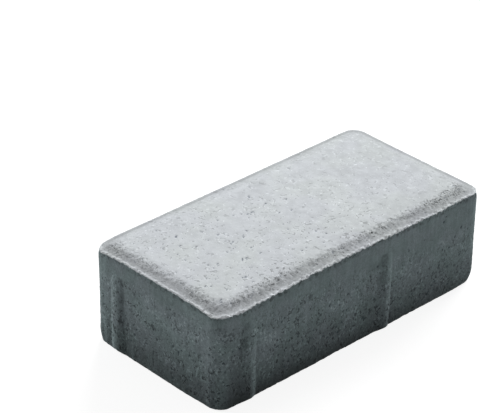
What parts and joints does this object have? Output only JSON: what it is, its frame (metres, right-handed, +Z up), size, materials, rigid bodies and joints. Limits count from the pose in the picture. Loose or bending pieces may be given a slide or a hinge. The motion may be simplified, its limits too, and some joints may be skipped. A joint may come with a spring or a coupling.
{
  "type": "concrete paving stone",
  "caption": "Rectangular cast concrete paving stone with a wide soft chamfer, rounded corners and spacer nibs on its side faces.",
  "frame": {"origin": "centre of the bed face, on the plane that the stone lies on", "axes": "+Z up, out of the wearing face; +X along the stone's length; +Y across its width"},
  "size_m": [0.2032, 0.1032, 0.06],
  "materials": {
    "concrete": "rough"
  },
  "bodies": {
    "root": {"paving_stone": "concrete"}
  },
  "joints": []
}
